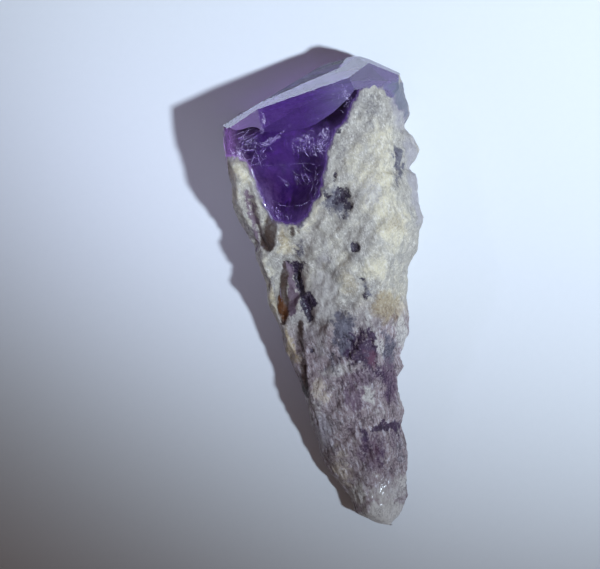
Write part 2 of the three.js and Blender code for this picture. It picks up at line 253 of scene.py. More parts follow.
        (-7.1, 14.9), (-6.2, 15.4), (-5, 16.3), (-3.5, 18.1), (-2, 19.9), (-1.1, 21.6),
        (-0.2, 24.3), (0.6, 26.6), (1.3, 28.5), (2.2, 29.6), (3.3, 31.5), (5.3, 32.9),
        (6.8, 35.7), (9.4, 38.9), (11, 48),
    ],
    # where each tone shows: how far noise pushes its edge,
    # spots (x, y, reach across, reach along, strength) and strokes (bent line, half width, strength)
    "tones": {
        "cream": (1, [
            (-15.9, 26.8, 1.8, 2.4, 1.2), (-17.4, 22, 1.2, 2.6, 0.7), (-17, 18, 1, 2.6, 0.5),
            (-13.7, 19, 1.4, 2.6, 0.6), (10.5, 12.6, 3.4, 4.8, 1), (6, 4.4, 3.2, 2.4, 0.8),
            (9, 19.6, 3.8, 6, 0.95), (10.8, 27.6, 2.8, 4.6, 0.7), (-9.8, 12, 1.5, 2.2, 0.9),
            (-14.3, 4.6, 0.9, 6, 0.6), (-7.8, -17, 2.1, 2.7, 1), (-5.9, -32.6, 1.8, 4.8, 1),
            (-12.1, -8, 1.1, 3.6, 0.8), (0.4, 5.6, 2.2, 3.4, 0.5), (10, -2, 2, 5, 0.6),
            (5.6, 24.6, 2.4, 4, 0.45),
        ], [([(-9.4, 14.6), (-7, 14.4), (-3.8, 15.8), (-1.6, 19.2)], 0.9, 0.7)]),
        "white": (0.8, [
            (-4.2, 0.9, 2.6, 5, 1.4), (-6.3, -8, 1.8, 4.4, 0.5), (4.6, -10, 0.7, 3.4, 0.8),
            (1.5, -18.9, 1.2, 2.8, 1.1), (2.5, -22.6, 1.8, 1.2, 0.5), (-3.6, -13.4, 3.2, 1.4, 0.8),
            (9.5, -8.2, 1.3, 3.4, 1.4), (7.6, 18.6, 2.4, 3, 0.8), (-14.9, 15.9, 0.9, 4, 0.6),
            (7.2, -21.4, 1, 2.4, 0.7), (-9.1, -20.8, 1.2, 3, 0.6), (4.2, -37.4, 1.6, 3.4, 0.7),
            (0.6, -43.2, 4.6, 3, 2), (5.2, -37.9, 1.1, 2.6, 1.1), (-3.6, -38, 1.8, 3, 1),
            (-6.4, 1.3, 0.4, 0.6, 1.2),
            (1.6, -38.2, 3.4, 3, 0.8), (3.4, -4.4, 1.2, 1.8, 0.8), (7.6, 9.6, 2.4, 3, 0.35),
        ], [([(-11, -15.4), (-10.6, -20.6), (-8.8, -27.6)], 0.4, 0.7)]),
        "slate": (0.9, [
            (-1.7, -6.4, 2.2, 4.8, 1.2), (6.4, -11.4, 1.5, 4.2, 0.95), (0.6, 18.2, 2.3, 2.9, 0.95),
            (2.5, 15.5, 0.7, 1.2, 0.7), (-7.6, 10.5, 1.6, 1.3, 0.8), (3.4, 0.6, 0.7, 2.1, 0.8),
            (-13.7, 18.6, 1.2, 2.2, 0.45), (-13.6, 4.1, 1, 3.4, 0.6), (4.8, -0.7, 1.2, 2.6, 0.5),
            (10.6, 35.6, 2.2, 2.6, 0.45), (9.7, 31.6, 1.3, 1.3, 0.5), (-2.6, 9.6, 1.2, 2.2, 0.4),
            (-7.4, 10.8, 1.6, 1.4, 0.7), (3.4, 27.6, 1.6, 3, 0.4),
            (13.8, 24.1, 0.9, 3.6, 1), (13.2, 20.6, 0.6, 1.8, 0.8), (1.6, 12.2, 1.8, 1.6, 0.3),
            (-4.6, -11.6, 1.4, 2, 0.6), (5.6, -31, 1.4, 4, 0.5), (-6.3, 15.1, 0.7, 1.2, 0.8),
            (4.6, 12.8, 1.6, 1.2, 0.3),
        ], []),
        "lilac": (0.8, [
            (16.9, 20, 1.9, 11, 1), (15.6, 33.5, 1.8, 4.6, 0.8), (5, -40, 2, 4, 0.4),
            (-17.8, 21, 0.8, 6, 0.3), (-3.4, 7.8, 1.4, 1.8, 0.5), (8, 30, 2.4, 3, 0.25),
            (4, 9, 3, 4, 0.3), (-8.4, -25, 2.4, 4.4, 0.8),
        ], []),
        "ochre": (0.8, [
            (7, -2.6, 3.2, 3.2, 1.1), (-10.2, 13, 1.4, 2.2, 0.9), (-9.4, 10.8, 1.4, 1.6, 0.5),
            (-12.3, -7.6, 1.1, 4.2, 1.1), (0.9, 2.6, 1.7, 2.8, 0.6), (11.4, 12.2, 2.8, 2.4, 0.6),
            (-14, 2, 0.9, 4.4, 0.7),
            (-7, -34.8, 1.4, 3.8, 0.3), (-15.6, 26.6, 1.4, 2.2, 0.35), (9.4, -6.4, 1.6, 1.4, 0.4),
        ], []),
        "mauve": (0.9, [
            (0.6, -15.4, 5.4, 1.8, 0.7), (5.6, -17.4, 1.8, 4.6, 1.2), (0.2, -30, 2.8, 4.6, 0.9),
            (-9.6, -22, 1.2, 3, 0.4), (-1.8, -19, 2.2, 3.6, 0.9),
            (2, -36, 1.8, 3.4, 0.55), (5, -28, 1.4, 1.6, 0.6), (-17, 15.6, 1, 1.6, 0.6),
            (-14.8, 12.6, 1, 1.4, 0.7), (-2.6, -25, 1.6, 2, 0.5),
        ], [
            ([(-15.2, 22.4), (-15.2, 19.7), (-14.9, 16.4), (-14.8, 12.4)], 0.65, 1),
            ([(-10.3, 7.8), (-9.8, 4.6), (-9.8, 2), (-10.7, -0.6)], 0.95, 1.4),
        ]),
        "purple": (0.8, [
            (2, -10.4, 2.3, 4.2, 1.15), (3.6, -14.6, 1.4, 1.6, 0.8), (-0.6, -26.4, 0.9, 1.2, 1),
            (-0.8, -10.6, 1.6, 2.8, 0.95), (-1, -29.4, 1.3, 2.6, 0.6), (5.3, -17.4, 1.4, 3.8, 0.8),
            (1.6, -31, 1.3, 3.6, 0.6), (-7.5, 0.2, 1.7, 2.2, 1.2), (-8.4, 7.2, 1.4, 1, 1.1),
        ], [
            ([(1.6, -25.2), (3.6, -25.2), (6, -25.9)], 1, 1.2), ([(-0.3, -7), (0.2, -11)], 0.45, 1.1),
            ([(3.2, -6.4), (3.8, -10.4)], 0.6, 1.2), ([(5.6, -25.6), (5.8, -27.6)], 0.5, 0.8),
        ]),
        "red": (0.7, [
            (2.7, -12.2, 1.1, 2.4, 1), (0.8, -29.6, 1, 2.4, 0.6), (5.3, -15.6, 0.8, 1.6, 0.5),
        ], []),
        "brown": (0.35, [(-12.2, 15.4, 0.9, 2, 1), (-8.2, 14, 0.5, 1.3, 0.9), (-6.9, 14.2, 0.4, 0.9, 0.8)], [
            ([(-11.8, 16.6), (-12.6, 14.6), (-13.2, 12.2)], 1.3, 1.4),
            ([(-10.7, 8.4), (-11, 6.4)], 0.45, 1.2), ([(-11, 6.6), (-11.4, 4.2), (-11.9, 1.5)], 0.8, 1.3),
            ([(-11.9, 1.8), (-12.3, -0.6)], 1.1, 1.3), ([(-12.3, -0.6), (-12.7, -2.8)], 0.55, 1.2),
            ([(-9.5, -3.2), (-9.7, -5.8)], 0.5, 1), ([(-9.9, -5.6), (-10.3, -11.6)], 1.1, 0.75),
            ([(-10.3, -11.6), (-10.7, -17)], 0.7, 1.1),
            ([(-5.6, 10.4), (-5.2, 8)], 0.4, 0.4), ([(-1.4, 24.6), (-0.6, 26.4), (0.4, 28.6)], 0.3, 0.5),
        ]),
        "rust": (0.5, [
            (-12.4, -0.1, 1, 2.4, 1.6), (6.1, -1.3, 0.45, 0.4, 0.9), (5.2, -2.9, 0.9, 0.35, 0.6),
            (8.4, -4.9, 0.7, 0.5, 0.9), (0.4, 12.8, 0.35, 0.5, 0.7), (0.6, 3.3, 0.6, 0.8, 0.35),
            (2.4, 2.1, 0.35, 0.4, 0.7), (7.4, -3.2, 0.3, 0.3, 0.7),
        ], [([(-11.4, 4.4), (-12, 1)], 0.5, 0.5), ([(-11, -9.8), (-10.9, -13.6)], 0.4, 0.5)]),
        "pits": (0.35, [
            (2.2, 19.3, 1.4, 1.6, 1.4), (2.8, 17, 0.8, 1.4, 1.1), (0.6, 18, 0.8, 0.9, 0.8),
            (-0.7, 19.6, 0.8, 0.7, 0.9), (3.5, 31, 0.8, 0.6, 1), (6.4, 17.6, 0.35, 0.4, 0.6),
            (3.3, 2.9, 0.5, 0.7, 0.7), (3.2, -0.4, 0.5, 0.9, 0.7), (0.9, 8, 0.5, 0.5, 0.5),
            (-7.9, -8.9, 0.45, 0.8, 0.9), (-1.7, -7.2, 0.45, 0.6, 0.9), (-3.2, -10.9, 0.35, 0.6, 0.7),
            (-7.4, 0.3, 1.5, 1.7, 1.6), (-7.6, -1.9, 0.7, 1.4, 1.3), (-6.8, 1.9, 0.5, 0.7, 0.8),
            (-8.1, 7.4, 1.2, 0.9, 1), (-9.9, 8.4, 0.6, 0.5, 0.9),
            (7.6, 33.6, 0.5, 0.4, 0.4), (4.9, 21.6, 0.25, 0.3, 0.5), (8.4, 26.4, 0.3, 0.3, 0.4),
            (-8, 10.6, 0.8, 0.5, 0.6), (1.8, 15.4, 0.35, 0.8, 0.6),
        ], [
            ([(-8.5, 6.6), (-8.5, 3.9), (-8.3, 1.8)], 0.6, 1.25), ([(2.65, 9.8), (2.75, 8.7)], 0.5, 1.1),
            ([(3.3, 9.7), (3.35, 8.4)], 0.45, 1), ([(1.5, 23.4), (1.2, 22)], 0.35, 0.9),
            ([(13.5, 25.6), (13.2, 21.4)], 0.35, 0.5),
        ]),
        "glossy": (0.6, [
            (-13.8, 12, 1.4, 2.4, 0.5), (-12.2, -8, 1, 4, 0.5),
            (0.5, -38.7, 2.3, 3.9, 1.3), (16.8, 20, 1.8, 9, 0.5), (-7.2, 0, 1, 1.8, 0.6),
            (2.5, 19.2, 1.1, 1.5, 0.5), (-15.2, 19, 0.7, 5, 0.7),
            (1.4, -42.8, 3.2, 2.4, 1), (16.4, 34.5, 1.6, 4.6, 0.4),
        ], []),
        "frost": (0.5, [
            (-1, 28.6, 1.4, 1.6, 0.7), (-3.4, 30.6, 2.8, 1.2, 0.6), (1, 31, 1.4, 1.6, 0.7),
            (-13.6, 31.4, 2.6, 2.2, 0.5), (5.6, 37.6, 2, 2.2, 0.5), (-15.6, 29.6, 1.6, 1.2, 0.7),
        ], [
            ([(-10.4, 37), (-10.2, 34.6), (-10.9, 33)], 0.4, 0.8),
            ([(-12.4, 21), (-11.4, 18.8), (-10, 17.2), (-8, 16.6)], 0.8, 0.45),
        ]),
        # violet light scattered under the bare surface
        "violet": (0.8, [
            (-4, 31, 7, 3, 1), (-9, 27.4, 6, 3, 0.6), (-8, 16.8, 3.6, 1.8, 0.55), (0.6, 29.6, 1.6, 4, 0.5),
        ], []),
        # thin crust through which the crystal shows
        "milky": (0.5, [
            (16.6, 36.4, 1.7, 3.2, 1.3), (17.2, 32.2, 1.1, 2, 0.9), (14.6, 38.2, 1.6, 1, 0.7),
        ], []),
    },
}


def stoneRings(s):
    # rings along y: a cubic over the sections gives eleven points, a cubic over those the outline
    keys = np.array([row[0] for row in s["sections"]], float)
    parts = np.array([row[1:] for row in s["sections"]], float)
    last = len(keys) - 1

    def pick(values, place):
        low = np.minimum(np.floor(place).astype(int), last - 1)
        t = (place - low).reshape((-1,) + (1,) * (values.ndim - 1))
        near = [values[np.clip(low + step, 0, last)] for step in (-1, 0, 1, 2)]
        return throughFour(*near, t)

    # rings crowd together where the tip closes like a quarter circle
    _, tipY, tipZ = s["tip"]
    start = s["tipStart"]
    reach = start - tipY
    closing = reach * np.sin(np.linspace(0, math.pi / 2, s["tipRings"] + 1)[1:])
    y = np.append(np.linspace(s["firstRing"], start, s["rings"] - s["tipRings"]), start - closing)
    y[-1] = tipY + 0.01
    places = np.linspace(0, last, 4001)
    rings = pick(parts, np.interp(-np.maximum(y, start), -pick(keys, places), places))
    rest = np.sqrt(np.clip((y - tipY) / reach, 0, 1))[:, None]
    rings[:, 1] = tipZ + (rings[:, 1] - tipZ) * rest
    around = np.concatenate([k + np.arange(n) / n for k, n in enumerate(s["columns"])])
    low = np.floor(around).astype(int)
    near = [rings[:, :, (low + step) % parts.shape[2]] for step in (-1, 0, 1, 2)]
    share, z = np.moveaxis(throughFour(*near, around - low), 1, 0)
    left, right = (np.interp(y, *np.array(s[edge][::-1]).T)[:, None] for edge in ("leftEdge", "rightEdge"))
    x = left + np.clip(share, 0, 1) * (right - left)
    return np.stack([x, np.broadcast_to(y[:, None], x.shape), z], axis=-1)


def ringNormals(points, span):
    # x and z of the outward normal in each ring's plane, across the step between points span away
    step = np.roll(points, -span, 1) - np.roll(points, span, 1)
    length = np.maximum(np.hypot(step[..., 0], step[..., 2]), tiny)
    return -step[..., 2] / length, step[..., 0] / length


def lumpiness(x, y, z):
    # three layers of crossed waves, each finer and lower than the one before
    total = np.zeros(x.shape)
    size = 1.0
    for f, p in ((0.55, 0.4), (1.15, 2.1), (2.1, 4.3)):
        total += size * np.sin(f * (x + 0.4 * z) + p) * np.cos(f * 0.82 * y - 0.5 * f * z + 1.7 * p)
        total += size * 0.6 * np.sin(f * 1.31 * (y - x) + 2.3 * p + f * z)
        size *= 0.55
    return total


def toneAt(x, y, tone):
    # the largest strength * exp(-r4) of its spots and strokes, r being the distance in shares of the reach
    _, spots, strokes = tone
    value = np.zeros(x.shape)
    for cx, cy, across, along, strength in spots:
        r = np.hypot((x - cx) / across, (y - cy) / along)
        value = np.maximum(value, strength * np.exp(-(r ** 4)))
    for line, half, strength in strokes:
        value = np.maximum(value, strength * np.exp(-((nearPath(x, y, line) / half) ** 4)))
    return value


def stoneShape(s):
    # each ring point moves out by waves, lobes and creases on top, and only inwards on steep walls
    points = stoneRings(s)
    nx, nz = ringNormals(points, 2)
    x, y, z = np.moveaxis(points, -1, 0)
    top = ease(0.1, 0.7, nz)
    bottom = ease(-0.2, -0.6, nz)
    steep = ease(0.35, 0.9, np.abs(nx))
    wide, other = pushes(points, 1.1)
    inside = insideOutline(x + 0.3 * wide, y + 0.3 * other, s["window"])
    clear = ease(-1.1, 0.1, inside) * top
    fade = ease(s["tip"][1], s["fullRelief"], y)
    root = ease(*s["rootFrom"], y)
    slab = ease(*s["slabAcross"], x) * ease(*s["slabAlong"], y)
    lift = s["crustRelief"] * lumpiness(x, y, z) * (1 - clear) * fade * (1 - 0.35 * slab)
    for cx, cy, across, along, height in s["lumps"]:
        lobe = np.exp(-(((x - cx) / across) ** 2) - ((y - cy) / along) ** 2)
        lift += height * top * lobe * (1 - clear)
    lift -= s["windowDrop"] * clear * (1 - ease(*s["crownFrom"], y))
    lift = lift * (1 - 0.8 * steep) - s["wallRelief"] * steep * np.maximum(0, -lumpiness(z, y, x))
    points[..., 0] += lift * nx
    points[..., 2] += lift * nz

    # fine relief along the true normal; x, y and z follow the points
    across = np.roll(points, -1, 1) - np.roll(points, 1, 1)
    normal = np.cross(np.gradient(points, axis=0), across)
    normal /= np.maximum(np.linalg.norm(normal, axis=-1, keepdims=True), tiny)
    normal *= np.sign(np.sum(normal * np.stack([nx, np.zeros(nx.shape), nz], -1), -1, keepdims=True))
    knobSize, knobHeight = s["knobs"]
    grainSize, grainHeight = s["grain"]
    rootStreaks, slabStreaks = s["streaks"]
    foldSize, foldHeight = s["wallFolds"]
    waveSize, waveHeight = s["windowWaves"]
    knobs = np.abs(layers(points, knobSize)) - 0.3
    grain = layers(points + 9, grainSize, 3)
    streaks = layers(points * (1, 0.3, 1) + 60, grainSize, 3)
    fine = (knobHeight * knobs + grainHeight * grain) * (1 - 0.3 * root) * (1 - 0.7 * slab)
    fine += (rootStreaks * root + slabStreaks * slab) * streaks
    for line, half, height in s["creases"]:
        fine += height * top * np.exp(-((nearPath(x + 0.3 * grain, y, line) / half) ** 2))
    pits = np.minimum(toneAt(x + 0.25 * grain, y + 0.3 * grain, s["tones"]["pits"]), 1)
    glossy = np.minimum(toneAt(x, y, s["tones"]["glossy"]), 1) * top
    fine = fine * (1 - 0.9 * glossy * (1 - pits)) - s["pitDepth"] * pits * top
    folds = layers(points * (1.5, 0.45, 1) + 80, grainSize, 2)
    fine += s["wetRelief"] * glossy * ease(*s["foldsFrom"], y) * folds
    fine = fine * (1 - clear) + waveHeight * layers(points, waveSize, 2) * clear
    wall = -foldHeight * np.abs(layers(points, foldSize)) - 0.05 * np.abs(grain)
    fine = fine * (1 - steep) + steep * wall
    fine *= (1 - 0.8 * bottom) * (0.25 + 0.75 * fade)
    return points + normal * fine[..., None]


cuts = {
    "longestEdge": 0.9,   # inside a polished face
    "halvings": 5,
    "onPlane": 1e-4,   # a corner this near a plane counts as on it
    "weld": 0.002,   # shorter edges are closed up
}


def beyond(place, normal, point):
    # how far a place lies beyond a plane
    return (place - Vector(point)).dot(Vector(normal).normalized())


def onlyFaces(parts):
    # the faces among these parts, each once, in their order
    return dict.fromkeys(part for part in parts if isinstance(part, bmesh.types.BMFace) and part.is_valid)


def closeCut(bm, rim, normal, haze):
    # flat triangles inside the rim; on polished ones inner edges are halved until they are short
    made = bmesh.ops.triangle_fill(bm, edges=rim, use_beauty=True, normal=normal)
    faces = onlyFaces(made["geom"])
    for face in faces:
        face[bm.faces.layers.float["polish"]] = float(haze is not None)
        face[bm.faces.layers.float["haze"]] = haze or 0.0
        face.smooth = False
    for _ in range(cuts["halvings"] if haze is not None else 0):
        inner = dict.fromkeys(edge for face in faces for edge in face.edges if len(edge.link_faces) == 2
                              and all(near in faces for near in edge.link_faces))
        wide = [edge for edge in inner if edge.calc_length() > cuts["longestEdge"]]
        if wide:
            split = bmesh.ops.subdivide_edges(bm, edges=wide, cuts=1, use_grid_fill=True)
            faces = onlyFaces([*faces, *split["geom"]])


def cutAway(bm, planes, haze):
    # removes what lies beyond the plane, or beyond both, and closes the cut
    for normal, point in planes:
        everything = bm.verts[:] + bm.edges[:] + bm.faces[:]
        cut = bmesh.ops.bisect_plane(bm, geom=everything, dist=1e-6, plane_co=point, plane_no=normal,
                                     clear_outer=len(planes) == 1)
    if len(planes) == 1:
        rim = [part for part in cut["geom_cut"] if isinstance(part, bmesh.types.BMEdge)]
        closeCut(bm, rim, normal, haze)
        return
    gone = [face for face in bm.faces
            if all(beyond(face.calc_center_median(), *plane) > 0 for plane in planes)]
    bmesh.ops.delete(bm, geom=gone, context="FACES")
    rim = [edge for edge in bm.edges if edge.is_boundary]
    sides = [[edge for edge in rim if all(abs(beyond(v.co, *plane)) < cuts["onPlane"] for v in edge.verts)]
             for plane in planes]
    first, second = (dict.fromkeys(v for edge in side for v in edge.verts) for side in sides)
    seam = bm.edges.new([v for v in first if v in second])
    for (normal, point), side in zip(planes, sides):
        closeCut(bm, side + [seam], normal, haze)


def tubeFaces(shape):
    # numbers of the points on closed rings, the same one place further on, and the quads between rings
    index = np.arange(np.prod(shape)).reshape(shape)
    right = np.roll(index, -1, -1)
    quads = np.stack([index[..., :-1, :], index[..., 1:, :], right[..., 1:, :], right[..., :-1, :]], -1)
    return index, right, quads.reshape(-1, 4).tolist()


def openMesh(name, corners, faces, smooth):
    # a new mesh, and its copy for editing
    mesh = bpy.data.meshes.new(name)
    mesh.from_pydata(corners.tolist(), [], faces)
    mesh.polygons.foreach_set("use_smooth", np.full(len(faces), smooth))
    bm = bmesh.new()
    bm.from_mesh(mesh)
    return mesh, bm


def closeMesh(mesh, bm):
    # turns every face outwards and puts the edited copy back into the mesh
    bmesh.ops.recalc_face_normals(bm, faces=bm.faces[:])
    bm.to_mesh(mesh)
    bm.free()
    return mesh


def stoneMesh(s):
    # the rings closed by a cap and a tip, cut by the polished planes and by the floor
    points = stoneShape(s)
    index, right, quads = tubeFaces(points.shape[:2])
    tip = np.full(index.shape[1], index.size)
    fan = np.stack([index[-1], tip, right[-1]], -1)
    corners = np.vstack([points.reshape(-1, 3), s["tip"]])
    mesh, bm = openMesh("stone", corners, quads + fan.tolist() + [index[0].tolist()], True)
    bm.faces.layers.float.new("polish")
    bm.faces.layers.float.new("haze")
    for haze, planes in s["facets"]:
        cutAway(bm, planes, haze)
    cutAway(bm, [((0, 0, -1), (0, 0, 0))], None)
    bmesh.ops.dissolve_degenerate(bm, dist=cuts["weld"], edges=bm.edges[:])
    print("stone: edges without two faces", sum(len(edge.link_faces) != 2 for edge in bm.edges))
    return closeMesh(mesh, bm)


def addField(mesh, name, values):
    layer = mesh.attributes.new(name, "FLOAT", "POINT")
    layer.data.foreach_set("value", np.ascontiguousarray(values, np.float32))


def paintFields(mesh, s):
    # how much of each tone every point shows, from its place and the way it faces; then the mesh
    # goes from millimetres to its place in metres
    count = len(mesh.vertices)
    flat = np.empty(count * 3, np.float32)
    mesh.vertices.foreach_get("co", flat)
    points = flat.reshape(-1, 3).astype(float)
    mesh.vertices.foreach_get("normal", flat)
    x, y, _ = points.T
    top = ease(-0.05, 0.35, flat.reshape(-1, 3)[:, 2].astype(float))
    wide, other = pushes(points, 1.3)
    inside = insideOutline(x + 0.3 * wide, y + 0.3 * other, s["window"])
    addField(mesh, "depth", np.clip(inside / s["depthReach"], -1, 1) * top + top - 1)
    inside = insideOutline(x + 0.2 * wide, y + 0.2 * other, s["polished"])
    addField(mesh, "polishDepth", np.clip(inside / s["depthReach"], -1, 1))
    for name, tone in s["tones"].items():
        addField(mesh, name, toneAt(x + tone[0] * wide, y + tone[0] * other, tone) * top)
    mesh.vertices.foreach_set("co", ((points + s["shift"]) * mm).astype(np.float32).ravel())
    mesh.update()


class Wire:
    # a socket whose sums and products with numbers or other wires become Math nodes
    def __init__(self, paint, socket):
        self.paint = paint
        self.socket = socket

    def maths(self, operation, first, second):
        return self.paint.node("Math", {"operation": operation}, {0: first, 1: second})

    def __add__(self, other):
        return self.maths("ADD", self, other)

    def __sub__(self, other):
        return self.maths("SUBTRACT", self, other)

    def __rsub__(self, other):
        return self.maths("SUBTRACT", other, self)

    def __mul__(self, other):
        return self.maths("MULTIPLY", self, other)

    __radd__ = __add__
    __rmul__ = __mul__


class Paint:
    # the nodes of a material or world; node takes a type, its settings and its sockets' values or wires
    def __init__(self, owner):
        owner.use_nodes = True
        self.owner = owner
        self.tree = owner.node_tree
        self.tree.nodes.clear()

    def node(self, kind, settings=None, sockets=None, output=0):
        made = self.tree.nodes.new("ShaderNode" + kind)
        for name, value in (settings or {}).items():
            setattr(made, name, value)
        for name, value in (sockets or {}).items():
            if isinstance(value, Wire):
                self.tree.links.new(value.socket, made.inputs[name])
            elif isinstance(value, tuple) and made.inputs[name].type == "RGBA":
                made.inputs[name].default_value = value + (1.0,)
            else:
                made.inputs[name].default_value = value
        return Wire(self, made.outputs[output]) if made.outputs else None

    def field(self, name):
        return self.node("Attribute", {"attribute_name": name}, output="Fac")

    def mix(self, share, first, second, blend="MIX"):
        settings = {"data_type": "RGBA", "blend_type": blend}
        return self.node("Mix", settings, {0: share, 6: first, 7: second}, output=2)

    def between(self, value, low, high, most=1.0):
        # rises smoothly from 0 at low to most at high
        settings = {"interpolation_type": "SMOOTHSTEP", "clamp": True}
        return self.node("MapRange", settings, {
            "Value": value, "From Min": low, "From Max": high, "To Max": most})

    def noise(self, place, size, detail, rough, warp=0.0, lengths=None, turn=0.0):
        # size is the distance between patches in millimetres, stretched by lengths after a turn about z
        if lengths:
            place = self.node("Mapping", {"vector_type": "TEXTURE"}, {
                "Vector": place, "Scale": lengths, "Rotation": (0.0, 0.0, math.radians(turn))})
        return self.node("TexNoise", None, {
            "Vector": place, "Scale": 1 / (size * mm), "Detail": detail, "Roughness": rough,
            "Distortion": warp})

    def finish(self, surface, volume=None, kind="OutputMaterial"):
        self.node(kind, None, {"Surface": surface} | ({"Volume": volume} if volume else {}))
        return self.owner


crust = {
    "grey": (0.43, 0.39, 0.335),
    "cream": (0.73, 0.645, 0.455),
    "mauve": (0.33, 0.255, 0.262),   # the root's ground
    "beige": (0.58, 0.48, 0.385),   # the root's cream
    "pale": (0.82, 0.765, 0.68),
    "ash": (0.66, 0.61, 0.645),   # the root's pale fibres
    "slate": (0.20, 0.19, 0.20),
    "rim": (0.17, 0.135, 0.175),
    "pit": (0.022, 0.013, 0.03),
    "dim": (0.42, 0.39, 0.42),   # what dark grains leave of the colour
    "bump": 0.00017,   # metres
    "roughness": 0.62,
    "leastRoughness": 0.15,
    "ior": 1.38,
    # coats in order: colour, where it starts and is full, shares of streak, middle and fine noise, most
    "coats": {
        "white": ((0.68, 0.635, 0.58), 0.2, 0.9, 1.5, 1.0, 1.2, 0.8),
        "slate": ((0.115, 0.108, 0.145), 0.15, 0.85, 1.3, 0.9, 1.3, 0.88),
        "lilac": ((0.40, 0.365, 0.395), 0.1, 0.9, 0.3, 0.4, 0.4, 0.75),
        "ochre": ((0.41, 0.30, 0.145), 0.15, 1.0, 0.3, 1.1, 1.4, 0.62),
        "mauve": ((0.165, 0.10, 0.145), 0.1, 0.9, 1.9, 0.9, 1.2, 0.88),
        "purple": ((0.05, 0.02, 0.062), 0.25, 0.95, 2.2, 0.8, 1.4, 0.92),
        "red": ((0.17, 0.07, 0.105), 0.25, 0.95, 1.5, 0.7, 0.9, 0.7),
        "brown": ((0.05, 0.024, 0.017), 0.1, 0.9, 0.7, 0.9, 0.3, 0.93),
        "rust": ((0.13, 0.04, 0.006), 0.2, 1.3, 0.0, 1.4, 0.9, 0.8),
    },
    # noises: size in millimetres, detail, roughness, warp, stretch along each axis, turn in degrees
    "noises": {
        "broad": (3.2, 4, 0.6),
        "other": (5.0, 3, 0.55),
        "middle": (1.1, 4, 0.6),
        "fine": (0.42, 3, 0.6),
        "streak": (0.9, 4, 0.65, 0.8, (1, 3.2, 1), 6),
        "fibre": (0.42, 3, 0.6, 1.6, (1, 3.2, 1), 10),
        "thread": (0.5, 4, 0.65, 0.7, (1, 4.5, 1), 7),
        "bands": (1.0, 3, 0.6, 0.0, (8, 0.7, 1), 11),
        "ripple": (2.2, 3, 0.5),
    },
    "grainSize": 0.55,
    # where noise starts to show and is full, and sometimes how much it may show
    "patches": (0.50, 0.66, 0.3),
    "paleSpots": (0.50, 0.72),
    "paleFibres": (0.52, 0.62, 0.6),
    "clusters": (0.42, 0.6),
    "darkGrains": (0.50, 0.66),
    "darkLines": (0.38, 0.5),
    "hollowFibres": (0.52, 0.68, 0.7),
    "rootFrom": (-0.001, 0.009),   # metres from the middle towards the tip
}
crystal = {
    "tint": (0.96, 0.94, 1.0),
    "ior": 1.55,
    "polishedRoughness": 0.03,
    "windowRoughness": 0.05,   # more than on polished faces
    "rimRoughness": 0.25,   # more again at the window's rim
    "absorbed": (0.54, 0.02, 0.83),   # colour of the light that stays
    "density": 125.0,   # for each metre
    "letThrough": (0.105, 0.085, 0.12),   # what lamps keep on their way in or out
    "ripple": 0.0002,   # metres
    # veils over the clear crystal
    "violet": (0.30, 0.13, 0.62),
    "edge": (0.12, 0.055, 0.20),
    "deep": (0.14, 0.05, 0.33),
    "haze": (0.29, 0.235, 0.46),
    "lilac": (0.155, 0.092, 0.22),   # the small left facet and the left side face; on the side face this veil is partly painted light, standing in for light led through the crystal
    "magenta": (0.30, 0.13, 0.40),
    "frost": (0.66, 0.56, 0.74),
    "milk": (0.155, 0.16, 0.21),
    # colour of the painted glow, an emission standing in for light led through the crystal
    "paintedGlow": (0.30, 0.17, 0.50),
    # where these start and are full along x, in metres
    "cornerFrom": (-0.0112, -0.0102),
    "farLeftFrom": (-0.0178, -0.0138),
    "magentaFrom": (-0.0148, -0.0122),
    "hazeFrom": (-0.004, 0.009),
    "brightFrom": (-0.004, 0.006),
    # left of this the painted glow covers the left side face
    "paintedGlowFrom": (-0.0176, -0.0172),
}


